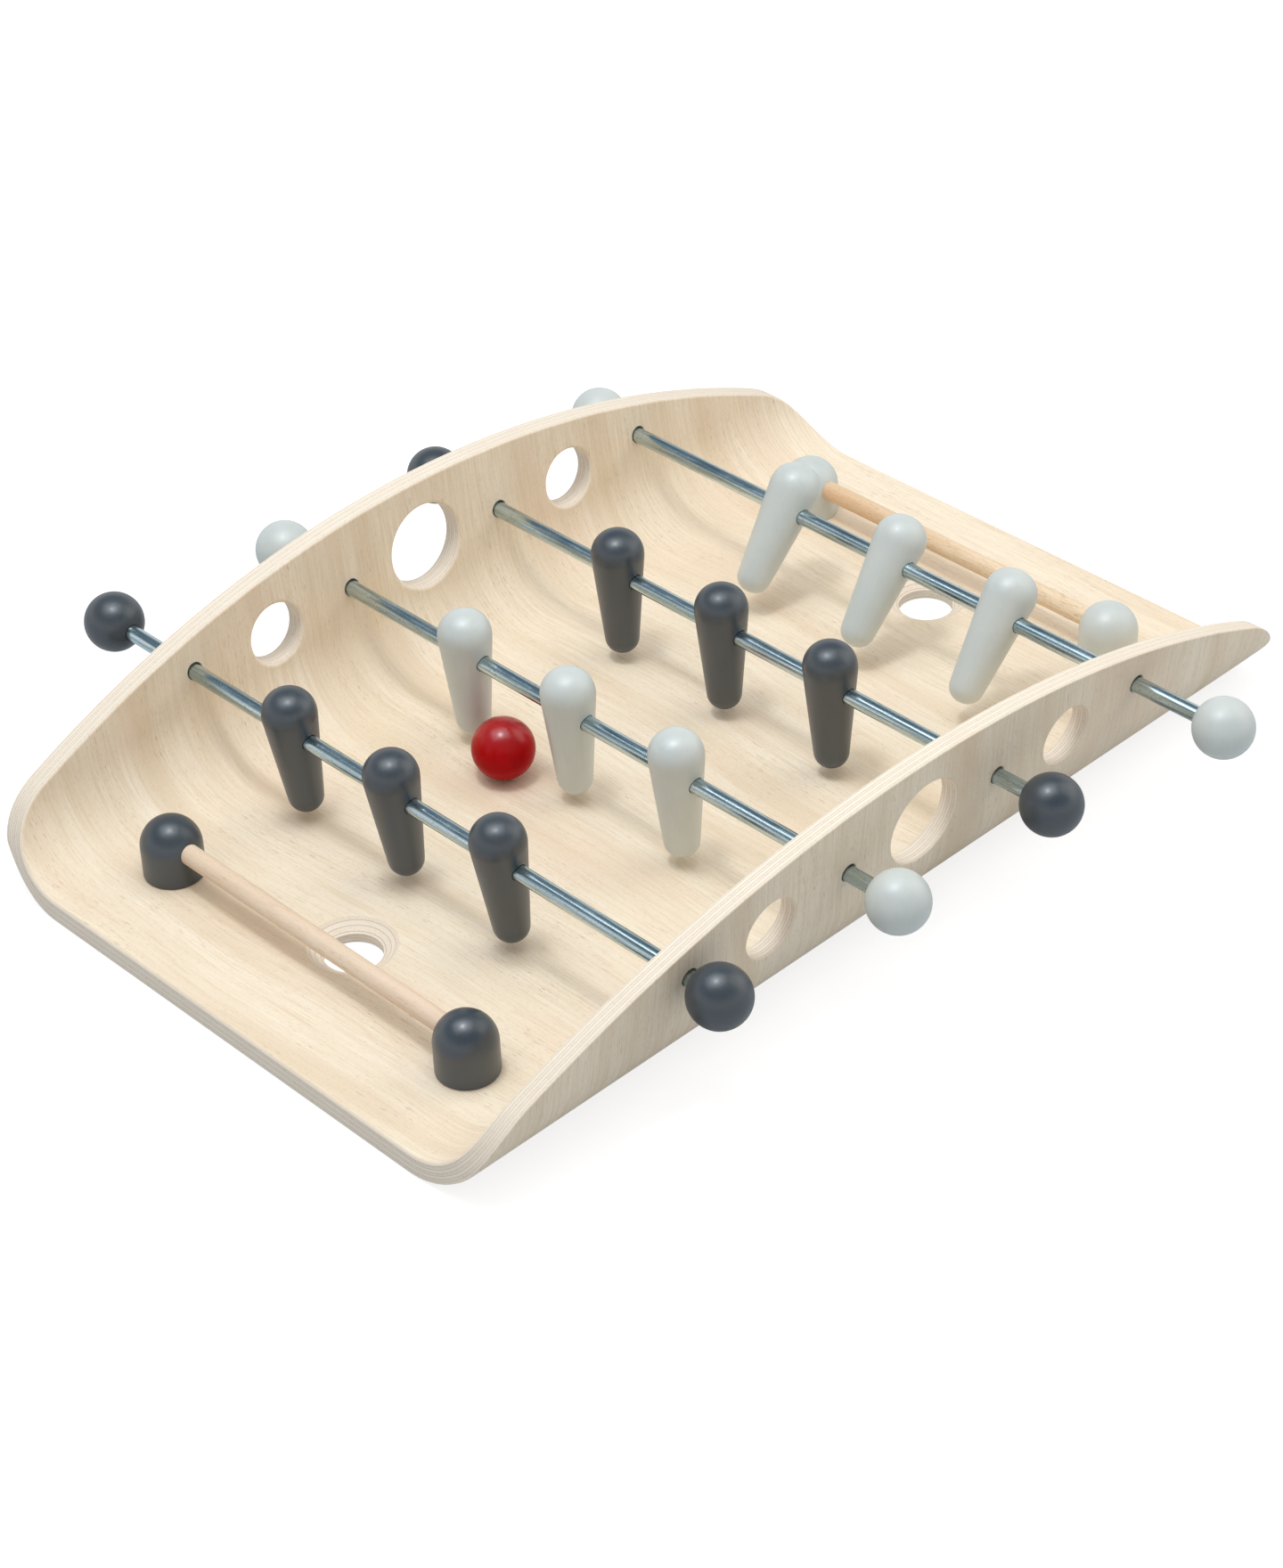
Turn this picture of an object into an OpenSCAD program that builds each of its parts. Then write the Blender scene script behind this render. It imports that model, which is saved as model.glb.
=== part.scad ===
// Table football game: a moulded plywood tray, open at both ends, with four steel rods across it.
// Each rod slides and turns in holes through the walls. It carries three turned wooden players
// between the walls and a ball knob on each end, outside them.
// Millimetres. The origin is the middle of the tray's underside. +X runs along the pitch from the
// dark side's goal to the light side's goal, +Y runs along the rods and +Z is up.

/* [Tray] */
// Length of the tray along the pitch
tray_len = 546; // [530:1:560]
// Thickness of the moulded plywood
ply_t = 10.5; // [9.5:0.5:11.5]
// Width of the flat part of the underside
flat_w = 249.6; // [246:0.2:254]
// Outer radius of the bend from the floor into each wall
bend_r = 47.5; // [46:0.5:49]
// Outward lean of the walls from upright, in degrees
wall_lean = 6.2; // [5:0.1:8]
// Height of the walls at mid-length
wall_h = 99.4; // [98:0.1:101]
// Radius of the long arc that the wall tops follow
top_arc_r = 590; // [570:1:610]
// Radius of the rounded corners where the wall tops run down into the ends
corner_r = 50; // [48:1:54]
// Radius of the rounding of the tray's ends, seen from above
end_r = 150; // [130:5:170]
// Distance from the middle line at which that rounding starts
end_flat = 125; // [120:1:135]

/* [Holes] */
// Distance between neighbouring rods
rod_pitch = 100; // [99:0.5:101]
// Height of the rods above the underside
rod_z = 61.75; // [61:0.25:62.5]
// Diameter of the rod holes through the walls
rod_hole_d = 9; // [8.8:0.1:9.6]
// Diameter of the large hole in the middle of each wall
big_hole_d = 44; // [40:1:46]
// Height of the large hole's centre
big_hole_z = 63; // [61:0.5:64]
// Diameter of the two small holes in each wall
small_hole_d = 31; // [28:1:33]
// Height of the small holes' centres
small_hole_z = 58.7; // [57:0.1:60]
// Distance of the small holes from mid-length
small_hole_x = 99; // [97:0.5:101]
// Distance of the goal holes from mid-length
goal_x = 196; // [194:0.5:198]
// Diameter of the goal holes through the floor
goal_hole_d = 28; // [26:0.5:29]
// Diameter of the dish around a goal hole, at the floor's upper face
goal_dish_d = 43; // [40:0.5:44]
// Depth of the dish at the edge of the goal hole
goal_dish_depth = 5; // [4:0.25:6]

/* [Rods and knobs] */
// Diameter of the steel rods
rod_d = 8; // [7.8:0.1:8.2]
// Distance between the centres of the two knobs on a rod
knob_span = 419.5; // [418:0.5:424]
// Diameter of the ball knobs
knob_d = 30; // [28:0.5:31]
// How far each rod has been slid towards +Y, dark goalkeeper first
rod_shift = [17.6, 6, 3.2, -16.4]; // [-18:0.1:18]
// How far each row's feet have swung towards +X, in degrees
row_tilt = [5.2, 2.2, 1, -37.75]; // [-60:0.05:60]

/* [Players] */
// Distance between neighbouring players on a rod
player_step = 72.4; // [70:0.2:74]
// Radius of the round head
head_r = 13.4; // [12.5:0.1:13.8]
// Height of the head's centre above the rod
head_up = 11.2; // [10:0.1:12]
// Radius of the round foot
foot_r = 8.85; // [8:0.05:9.5]
// Distance of the foot's centre below the rod
foot_down = 37.8; // [36:0.1:38.5]

/* [Goals and ball] */
// Diameter of the goal posts
post_d = 29.8; // [28:0.2:30.4]
// Height of the goal posts above the floor
post_h = 30.8; // [29:0.2:33]
// Distance of the goal posts from mid-length
post_x = 217.8; // [217:0.2:220]
// Distance of the goal posts from the middle line
post_y = 102.9; // [101:0.1:104]
// Diameter of the bar between two posts
bar_d = 10; // [9:0.5:10]
// Height of the bar's axis above the floor
bar_up = 17.2; // [16:0.2:18]
// Diameter of the ball
ball_d = 31.5; // [31:0.1:32]
// Place of the ball along the pitch and across it
ball_at = [-58.9, 45.4]; // [-60:0.1:60]

/* [Hidden] */
$fn = 96;
half_len = tray_len / 2;
tray_span = 2 * bend_r + flat_w + wall_h; // wider than the tray at its widest
arc_cross = 0.05; // an arc crosses the line that it runs into by this much, to leave no sliver there
corner_x = half_len - corner_r + arc_cross;
top_arc_z = wall_h - top_arc_r;
corner_z = top_arc_z + sqrt(pow(top_arc_r - corner_r + arc_cross, 2) - pow(corner_x, 2));
corner_angle = atan2(corner_z - top_arc_z, corner_x);
dish_rim_gap = pow(goal_dish_d / 2, 2) - pow(goal_hole_d / 2, 2);
dish_up = (dish_rim_gap - pow(goal_dish_depth, 2)) / (2 * goal_dish_depth);
dish_r = sqrt(pow(dish_up, 2) + pow(goal_dish_d / 2, 2));

taper_inset = 0.02; // how far a player's taper lies inside the cone that would touch head and foot
running_gap = 0.05; // radial gap between a rod and the bores of the players and knobs on it
end_gap = 1; // free space between a rod's end and the bottom of its knob's bore
rod_past_centre = 2; // how far a rod reaches past the centre of its knob
rod_chamfer = 0.6;
ball_gap = 0.2; // air under the ball
post_edge = 1; // easing around the foot of a post
bar_seat = 8; // depth to which the bar is let into each post
screw_d = 4;
screw_head_d = 8;
screw_neck = (screw_head_d - screw_d) / 2; // height of the cone under a screw's head
screw_grip = 19; // length of the screw inside the post
screw_play = 0.4; // clearance around a screw in the floor
screw_sink = 0.2; // depth of the screw's head below the underside
slot_w = 1.2; // width of the cross recess in a screw's head
slot_l = 4.4;
slot_depth = 1.8;
cut = 1; // how far a cutter runs past the face that it cuts

dark = "#4d5157";
light = "#b3bcb8";
natural = "#e3d3b8";
steel = "#aab4be";
red = "#d3202a";

// Tray: cross-section, side outline and plan outline

// What lies inside one face of the bent sheet: r is the face's radius in the bends, and the shape
// reaches the given distance further inwards and upwards
module inside_face(r, reach) {
    translate([-flat_w / 2, bend_r - r]) square([flat_w, r + reach]);
    for (side = [0, 1]) mirror([side, 0]) translate([flat_w / 2, bend_r]) {
        circle(r);
        rotate(-wall_lean) translate([-reach, 0]) square([r + reach, wall_h + reach]);
    }
}

module cross_section() {
    difference() {
        inside_face(bend_r, 0);
        inside_face(bend_r - ply_t, bend_r);
    }
}

module side_corner_waste() {
    reach = 3 * corner_r;
    translate([corner_x, corner_z]) difference() {
        polygon([[0, 0], [reach, 0], [reach, reach * tan(corner_angle)]]);
        circle(corner_r);
    }
}

module side_outline() {
    difference() {
        intersection() {
            translate([0, top_arc_z]) circle(top_arc_r, $fn = 360);
            translate([-half_len, 0]) square([tray_len, wall_h + cut]);
        }
        side_corner_waste();
        mirror([1, 0]) side_corner_waste();
    }
}

module plan_corner_waste() {
    translate([half_len - end_r + arc_cross, end_flat]) difference() {
        square(end_r + cut);
        circle(end_r, $fn = 240);
    }
}

module plan_outline() {
    difference() {
        square([tray_len, tray_span], center = true);
        for (end = [0, 1]) for (side = [0, 1]) mirror([end, 0]) mirror([0, side]) plan_corner_waste();
    }
}

// A hole through both walls
module across(x, z, d) translate([x, 0, z]) rotate([90, 0, 0])
    cylinder(d = d, h = tray_span, center = true);

module goal_hole() {
    translate([0, 0, -cut]) cylinder(d = goal_hole_d, h = ply_t + 2 * cut);
    translate([0, 0, ply_t + dish_up]) sphere(dish_r);
}

module screw_hole() {
    bore_d = screw_d + screw_play;
    sink_d = screw_head_d + screw_play;
    translate([0, 0, -cut]) cylinder(d = bore_d, h = ply_t + 2 * cut);
    translate([0, 0, -cut]) cylinder(d = sink_d, h = cut + screw_sink);
    translate([0, 0, screw_sink]) cylinder(d1 = sink_d, d2 = bore_d, h = screw_neck);
}

module at_posts() for (x = [-post_x, post_x]) for (y = [-post_y, post_y]) translate([x, y, 0]) children();

module plywood_tray() color(natural) difference() {
    intersection() {
        rotate([90, 0, 90]) linear_extrude(tray_len, center = true) cross_section();
        rotate([90, 0, 0]) linear_extrude(tray_span, center = true) side_outline();
        linear_extrude(wall_h + cut) plan_outline();
    }
    for (row = [0:3]) across(row_x(row), rod_z, rod_hole_d);
    across(0, big_hole_z, big_hole_d);
    for (x = [-small_hole_x, small_hole_x]) across(x, small_hole_z, small_hole_d);
    for (x = [-goal_x, goal_x]) translate([x, 0, 0]) goal_hole();
    at_posts() screw_hole();
}

// Rods, with the players and knobs that turn with them

function row_x(row) = (row - 1.5) * rod_pitch;
function row_colour(row) = row % 2 == 0 ? dark : light;

module on_rod(row, along = 0) translate([row_x(row), rod_shift[row] + along, rod_z]) children();

module rod(row) color(steel) on_rod(row) rotate([90, 0, 0]) {
    rod_len = knob_span + 2 * rod_past_centre;
    cylinder(d = rod_d, h = rod_len - 2 * rod_chamfer, center = true);
    for (end = [0, 1]) mirror([0, 0, end]) translate([0, 0, rod_len / 2 - rod_chamfer])
        cylinder(d1 = rod_d, d2 = rod_d - 2 * rod_chamfer, h = rod_chamfer);
}

// A round head and a round foot joined by a straight taper. The taper is set in a little, so that it
// crosses the two balls instead of only touching them.
module player_blank() {
    taper = asin((head_r - foot_r) / (head_up + foot_down));
    top_r = head_r - taper_inset;
    bottom_r = foot_r - taper_inset;
    top_z = head_up - top_r * sin(taper);
    bottom_z = -foot_down - bottom_r * sin(taper);
    translate([0, 0, head_up]) sphere(head_r);
    translate([0, 0, -foot_down]) sphere(foot_r);
    translate([0, 0, bottom_z])
        cylinder(r1 = bottom_r * cos(taper), r2 = top_r * cos(taper), h = top_z - bottom_z);
}

module player(row, place) color(row_colour(row)) on_rod(row, (place - 1) * player_step)
    rotate([0, -row_tilt[row], 0]) difference() {
        player_blank();
        rotate([90, 0, 0]) cylinder(d = rod_d + 2 * running_gap, h = 2 * head_r + 2 * cut, center = true);
    }

// A ball with a blind bore facing the tray; side is -1 on the -Y end and 1 on the +Y end
module knob(row, side) color(row_colour(row)) on_rod(row, side * knob_span / 2)
    rotate([90 * side, 0, 0]) difference() {
        sphere(d = knob_d);
        translate([0, 0, -rod_past_centre - end_gap])
            cylinder(d = rod_d + 2 * running_gap, h = knob_d / 2 + rod_past_centre + end_gap + cut);
    }

// Goals: two posts with a bar let into them, held from below by countersunk screws

module post(x, y, tone) color(tone) translate([x, y, ply_t]) difference() {
    rotate_extrude() {
        polygon([[0, 0], [post_d / 2 - post_edge, 0], [post_d / 2, post_edge],
                 [post_d / 2, post_h - post_d / 2], [0, post_h - post_d / 2]]);
        translate([0, post_h - post_d / 2]) intersection() {
            circle(d = post_d);
            square(post_d / 2);
        }
    }
    translate([0, 0, -cut]) cylinder(d = screw_d, h = screw_grip + cut);
    translate([0, 0, bar_up]) rotate([90 * sign(y), 0, 0]) translate([0, 0, post_d / 2 - bar_seat])
        cylinder(d = bar_d, h = post_d);
}

module goal_bar(x) color(natural) translate([x, 0, ply_t + bar_up]) rotate([90, 0, 0])
    cylinder(d = bar_d, h = 2 * post_y - post_d + 2 * bar_seat, center = true);

module post_screw() difference() {
    rotate_extrude() polygon([[0, screw_sink], [screw_head_d / 2, screw_sink],
                              [screw_d / 2, screw_sink + screw_neck],
                              [screw_d / 2, ply_t + screw_grip - screw_d], [0, ply_t + screw_grip]]);
    for (turn = [0, 90]) rotate(turn)
        translate([-slot_l / 2, -slot_w / 2, screw_sink - cut]) cube([slot_l, slot_w, slot_depth + cut]);
}

module post_screws() color(steel) at_posts() post_screw();

module ball() color(red) translate([ball_at[0], ball_at[1], ply_t + ball_gap + ball_d / 2])
    sphere(d = ball_d);

plywood_tray();
rod(0);  // rod_1
rod(1);  // rod_2
rod(2);  // rod_3
rod(3);  // rod_4
player(0, 0);  // player_1a
player(0, 1);  // player_1b
player(0, 2);  // player_1c
player(1, 0);  // player_2a
player(1, 1);  // player_2b
player(1, 2);  // player_2c
player(2, 0);  // player_3a
player(2, 1);  // player_3b
player(2, 2);  // player_3c
player(3, 0);  // player_4a
player(3, 1);  // player_4b
player(3, 2);  // player_4c
knob(0, 1);  // knob_1_left
knob(0, -1);  // knob_1_right
knob(1, 1);  // knob_2_left
knob(1, -1);  // knob_2_right
knob(2, 1);  // knob_3_left
knob(2, -1);  // knob_3_right
knob(3, 1);  // knob_4_left
knob(3, -1);  // knob_4_right
post(-post_x, post_y, dark);  // dark_post_left
post(-post_x, -post_y, dark);  // dark_post_right
goal_bar(-post_x);  // dark_goal_bar
post(post_x, post_y, light);  // light_post_left
post(post_x, -post_y, light);  // light_post_right
goal_bar(post_x);  // light_goal_bar
ball();
post_screws();
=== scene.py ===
import math

import bpy
import numpy as np
from mathutils import Matrix, Vector
from mathutils.geometry import delaunay_2d_cdt


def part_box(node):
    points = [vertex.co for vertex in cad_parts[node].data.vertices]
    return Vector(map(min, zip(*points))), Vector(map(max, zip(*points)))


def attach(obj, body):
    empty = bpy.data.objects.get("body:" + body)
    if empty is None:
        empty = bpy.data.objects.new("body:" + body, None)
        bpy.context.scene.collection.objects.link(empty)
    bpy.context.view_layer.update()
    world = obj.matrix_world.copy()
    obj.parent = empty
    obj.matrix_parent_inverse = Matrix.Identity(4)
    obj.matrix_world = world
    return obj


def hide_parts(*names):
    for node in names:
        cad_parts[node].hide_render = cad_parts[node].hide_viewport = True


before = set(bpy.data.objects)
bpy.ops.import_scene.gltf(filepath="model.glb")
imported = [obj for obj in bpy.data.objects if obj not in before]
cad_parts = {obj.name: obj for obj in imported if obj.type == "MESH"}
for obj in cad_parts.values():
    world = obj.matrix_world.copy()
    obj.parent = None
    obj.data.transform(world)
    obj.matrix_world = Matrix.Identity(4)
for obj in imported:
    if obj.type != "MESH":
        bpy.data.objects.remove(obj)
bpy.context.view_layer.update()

scene = bpy.context.scene
scene.view_settings.view_transform = "Standard"
mm = 0.001

# Camera

photoView = {
    "azimuth": -43.09, "elevation": 36.48, "roll": -2.27,   # degrees
    "target": (-66.31 * mm, -59.29 * mm, 61.75 * mm), "distance": 1652.78 * mm,
    "sensor": 36.0, "lens": 82.51,   # millimetres
}


def placeCamera(view):
    azimuth, elevation, roll = (math.radians(view[k]) for k in ("azimuth", "elevation", "roll"))
    back = Vector((math.sin(azimuth) * math.cos(elevation),
                   -math.cos(azimuth) * math.cos(elevation), math.sin(elevation)))
    right = Vector((math.cos(azimuth), math.sin(azimuth), 0))
    up = back.cross(right)
    rolledRight = math.cos(roll) * right + math.sin(roll) * up
    rolledUp = math.cos(roll) * up - math.sin(roll) * right
    data = bpy.data.cameras.new("photoCamera")
    data.sensor_width, data.lens = view["sensor"], view["lens"]
    camera = bpy.data.objects.new("photoCamera", data)
    turn = Matrix((rolledRight, rolledUp, back)).transposed().to_4x4()
    place = Vector(view["target"]) + back * view["distance"]
    camera.matrix_world = Matrix.Translation(place) @ turn
    scene.collection.objects.link(camera)
    scene.camera = camera


placeCamera(photoView)
print("camera placed")

# Small helpers for node trees


def addNode(tree, kind, inputs=None, **settings):
    made = tree.nodes.new(kind)
    for key, value in settings.items():
        setattr(made, key, value)
    for key, value in (inputs or {}).items():
        if isinstance(value, bpy.types.NodeSocket):
            tree.links.new(value, made.inputs[key])
        else:
            made.inputs[key].default_value = value
    return made


def startGroup(name, inputs, outputs, kind="ShaderNodeTree"):
    tree = bpy.data.node_groups.new(name, kind)
    for label, socketKind, value in inputs:
        socket = tree.interface.new_socket(label, in_out="INPUT", socket_type=socketKind)
        if value is not None:
            socket.default_value = value
    for label, socketKind in outputs:
        tree.interface.new_socket(label, in_out="OUTPUT", socket_type=socketKind)
    return tree, tree.nodes.new("NodeGroupInput").outputs, tree.nodes.new("NodeGroupOutput").inputs


def startMaterial(name):
    material = bpy.data.materials.new(name)
    material.use_nodes = True
    return material, material.node_tree, material.node_tree.nodes["Principled BSDF"]


def calc(tree, operation, a, b=0.0, kind="ShaderNodeMath"):
    return addNode(tree, kind, {0: a, 1: b}, operation=operation).outputs[0]


def plus(tree, a, b):
    return calc(tree, "ADD", a, b)


def minus(tree, a, b):
    return calc(tree, "SUBTRACT", a, b)


def times(tree, a, b):
    return calc(tree, "MULTIPLY", a, b)


def moved(tree, place, shift):
    return calc(tree, "ADD", place, shift, "ShaderNodeVectorMath")


def vectorOf(tree, x, y, z):
    return addNode(tree, "ShaderNodeCombineXYZ", {0: x, 1: y, 2: z}).outputs[0]


def partsOf(tree, vector):
    return addNode(tree, "ShaderNodeSeparateXYZ", {0: vector}).outputs


def coordinates(tree, kind):
    return addNode(tree, "ShaderNodeTexCoord").outputs[kind]


def mixNumber(tree, share, a, b):
    return addNode(tree, "ShaderNodeMix", {0: share, 2: a, 3: b}).outputs[0]


def mixColour(tree, share, a, b):
    return addNode(tree, "ShaderNodeMix", {0: share, 6: a, 7: b}, data_type="RGBA").outputs[2]


def ramp(tree, value, low, high, outLow=0.0, outHigh=1.0):
    limits = {"From Min": low, "From Max": high, "To Min": outLow, "To Max": outHigh}
    return addNode(tree, "ShaderNodeMapRange", {"Value": value, **limits},
                   interpolation_type="SMOOTHSTEP").outputs[0]


def noise(tree, place, scale, detail, roughness, shift=(0, 0, 0)):
    # scale is for x, y and z, in waves a metre; shift picks another part of the pattern
    mapping = {"Vector": place, "Location": shift, "Scale": scale}
    scaled = addNode(tree, "ShaderNodeMapping", mapping).outputs[0]
    waves = {"Vector": scaled, "Scale": 1.0, "Detail": detail, "Roughness": roughness}
    return addNode(tree, "ShaderNodeTexNoise", waves).outputs[0]


def noiseLayers(tree, place, layers):
    return {name: noise(tree, place, *settings) for name, settings in layers.items()}


def layerShares(tree, layers, shares):
    return {name: ramp(tree, layers[name], *limits) for name, limits in shares.items()}


def dress(tree, shader, colour, roughness, height, values):
    # the finish of a material: what changes over it, then what is the same all over
    tree.links.new(colour, shader.inputs["Base Color"])
    tree.links.new(roughness, shader.inputs["Roughness"])
    bump = {"Height": height, "Distance": values["bump"], "Strength": values["bumpStrength"]}
    tree.links.new(addNode(tree, "ShaderNodeBump", bump).outputs[0], shader.inputs["Normal"])
    for name, value in values["shader"].items():
        shader.inputs[name].default_value = value


def srgb(red, green, blue):
    return tuple(((c / 255 + 0.055) / 1.055) ** 2.4 for c in (red, green, blue)) + (1,)


# Studio: a wide soft box over the pitch with a small bright core, and a warm box at the right.
# The camera, mirrors and glass see one sky, and another one lights the object.

studio = {
    "lamps": [   # name, place, size, watts, colour; each aims at the middle of the tray
        ("topBox", (-0.2, 0.15, 1.7), (1.25, 1.8), 14.3, (0.925, 0.972, 1.0)),
        ("topCore", (-0.3, 0.05, 1.65), (0.24, 0.24), 6.4, (0.925, 0.972, 1.0)),
        ("sideBox", (0.95, -0.6, 0.95), (1.1, 1.1), 4.3, (1.0, 0.96, 0.86)),
    ],
    "skyRise": (0.2, 0.65),   # z of the directions between which low turns into high
    "seenLow": (1.0, 1.0, 1.0, 1), "seenHigh": (0.15, 0.205, 0.255, 1),
    "lightLow": (0.4, 0.4, 0.4, 1), "lightHigh": (0.49, 0.5, 0.52, 1),
    "floorReach": 8.0, "floorTone": (0.62, 0.65, 0.68, 1), "floorRoughness": 0.9,
    "floorSeenTone": (0.34, 0.34, 0.34, 1), "floorSeenGlow": 0.80,
}


def seenDirectly(tree):
    # 1 for what the camera sees, also in a mirror or through glass
    path = addNode(tree, "ShaderNodeLightPath").outputs
    mirrored = calc(tree, "MAXIMUM", path["Is Glossy Ray"], path["Is Transmission Ray"])
    return calc(tree, "MAXIMUM", path["Is Camera Ray"], mirrored)


def lightStudio(values):
    for name, place, size, watts, colour in values["lamps"]:
        data = bpy.data.lights.new(name, "AREA")
        data.shape = "RECTANGLE"
        data.size, data.size_y = size
        data.energy = watts
        data.color = colour
        lamp = bpy.data.objects.new(name, data)
        lamp.location = place
        lamp.rotation_euler = (-Vector(place)).to_track_quat("-Z", "Y").to_euler()
        scene.collection.objects.link(lamp)
    world = bpy.data.worlds.new("paleSky")
    world.use_nodes = True
    scene.world = world
    tree = world.node_tree
    rise = ramp(tree, partsOf(tree, coordinates(tree, "Generated"))[2], *values["skyRise"])
    seen = mixColour(tree, rise, values["seenLow"], values["seenHigh"])
    light = mixColour(tree, rise, values["lightLow"], values["lightHigh"])
    sky = mixColour(tree, seenDirectly(tree), light, seen)
    tree.links.new(sky, tree.nodes["Background"].inputs["Color"])


def layFloor(values):
    reach = values["floorReach"]
    corners = [(-reach, -reach, 0), (reach, -reach, 0), (reach, reach, 0), (-reach, reach, 0)]
    mesh = bpy.data.meshes.new("studioFloor")
    mesh.from_pydata(corners, [], [(0, 1, 2, 3)])
    floor = bpy.data.objects.new("studioFloor", mesh)
    scene.collection.objects.link(floor)
    material, tree, shader = startMaterial("studioFloor")
    # the camera and glass see the floor white, and mirrors see it as the lamps light it
    path = addNode(tree, "ShaderNodeLightPath").outputs
    seen = calc(tree, "MAXIMUM", path["Is Camera Ray"], path["Is Transmission Ray"])
    tone = mixColour(tree, seen, values["floorTone"], values["floorSeenTone"])
    glow = times(tree, seen, values["floorSeenGlow"])
    tree.links.new(tone, shader.inputs["Base Color"])
    tree.links.new(glow, shader.inputs["Emission Strength"])
    shader.inputs["Emission Color"].default_value = (1, 1, 1, 1)
    shader.inputs["Roughness"].default_value = values["floorRoughness"]
    shader.inputs["Specular IOR Level"].default_value = 0.0
    mesh.materials.append(material)


lightStudio(studio)
layFloor(studio)
print("studio lit")

# What each skin group gives its material

skinOutputs = [
    ("Color", "NodeSocketColor"), ("Height", "NodeSocketFloat"), ("Roughness", "NodeSocketFloat"),
]

# Wood grain, for the plywood's faces and for the dowels. The grain runs along y.

grainPattern = {
    "wander": ((5, 3.5, 5), 2, 0.5), "wanderBy": 35 * mm,   # how the lines stray sideways
    "layers": {   # scale, detail, roughness, shift
        "bands": ((38, 2.6, 38), 3, 0.55),
        "blotches": ((16, 5.5, 16), 2, 0.5, (3.1, 1.7, 0)),
        "streaks": ((420, 9, 420), 3, 0.6),
        "fibres": ((950, 26, 950), 2, 0.6, (1.3, 0, 2.2)),
        "hairs": ((1900, 60, 1900), 2, 0.6),
        "pores": ((2300, 130, 2300), 1, 0.5, (7.3, 0, 0)),
        "poreFields": ((60, 14, 60), 2, 0.5, (0, 5.2, 0)),
        "dashes": ((2600, 400, 2600), 1, 0.5, (2.9, 0, 4.1)),
    },
    "shares": {   # from and to in the layer's noise, then its share there
        "bands": (0.42, 0.70), "blotches": (0.50, 0.74), "streaks": (0.35, 0.72, 0.0, 0.30),
        "fibres": (0.46, 0.68, 0.0, 0.5), "hairs": (0.5, 0.72, 0.0, 0.5),
        "pores": (0.655, 0.73), "poreFields": (0.42, 0.62), "dashes": (0.58, 0.72, 0.0, 0.3),
    },
    "hairRelief": 0.5, "streakRelief": 0.6,
    "roughness": (0.3, 0.8, 0.50, 0.62),   # from and to in the streaks, then the roughness
}


def makeWoodGrain(values):
    tree, given, out = startGroup("woodGrain", [
        ("Place", "NodeSocketVector", None),
        ("Pale", "NodeSocketColor", None),
        ("Tan", "NodeSocketColor", None),
        ("Blush", "NodeSocketColor", None),
        ("Pore", "NodeSocketColor", None),
        ("Tan Share", "NodeSocketFloat", 0.5),
        ("Pore Share", "NodeSocketFloat", 0.5),
    ], skinOutputs)
    wander = noise(tree, given["Place"], *values["wander"])
    stray = vectorOf(tree, times(tree, wander, values["wanderBy"]), 0, 0)
    place = moved(tree, given["Place"], stray)
    layers = noiseLayers(tree, place, values["layers"])
    shares = layerShares(tree, layers, values["shares"])
    tanShare = times(tree, shares["bands"], given["Tan Share"])
    colour = mixColour(tree, tanShare, given["Pale"], given["Tan"])
    blushShare = times(tree, shares["blotches"], given["Tan Share"])
    colour = mixColour(tree, blushShare, colour, given["Blush"])
    for name in ("streaks", "fibres", "hairs"):
        colour = mixColour(tree, shares[name], colour, given["Tan"])
    pores = times(tree, shares["pores"], shares["poreFields"])
    for marks in (pores, shares["dashes"]):
        colour = mixColour(tree, times(tree, marks, given["Pore Share"]), colour, given["Pore"])
    raised = plus(tree, times(tree, layers["hairs"], values["hairRelief"]),
                  times(tree, layers["streaks"], values["streakRelief"]))
    tree.links.new(colour, out["Color"])
    tree.links.new(minus(tree, raised, pores), out["Height"])
    tree.links.new(ramp(tree, layers["streaks"], *values["roughness"]), out["Roughness"])
    return tree


woodGrain = makeWoodGrain(grainPattern)

plywood = {
    "thickness": 10.5 * mm, "plies": 7,
    "waver": 0.16 * mm,                      # how far the glue lines stray from level
    "glueCore": 0.035, "glueEdge": 0.1,      # half widths of a glue line, in plies
    "faceEdge": (0.15 * mm, 0.7 * mm),       # from a face to where the plies show in full
    "outerShift": 0.37,                      # metres, so that the outer veneer has its own grain
    "grain": {"Pale": srgb(247, 233, 211), "Tan": srgb(228, 205, 174), "Blush": srgb(238, 212, 187),
              "Pore": srgb(158, 116, 84), "Tan Share": 0.65, "Pore Share": 0.6},
    "longGrain": srgb(246, 235, 218), "endGrain": srgb(240, 226, 208),
    "endPore": srgb(220, 201, 178), "glue": srgb(184, 152, 124), "glueShare": 0.6,
    "layers": {"wobble": ((14, 14, 14), 2, 0.5), "speckle": ((900, 900, 900), 2, 0.6),
               "cloud": ((45, 45, 45), 2, 0.5)},
    "shares": {"speckle": (0.4, 0.75, 0.0, 0.6), "cloud": (0.35, 0.7, 0.0, 0.5)},
    "speckleRelief": 0.4,
    "bump": 0.05 * mm, "bumpStrength": 0.5, "shader": {"Specular IOR Level": 0.35},
}


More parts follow.
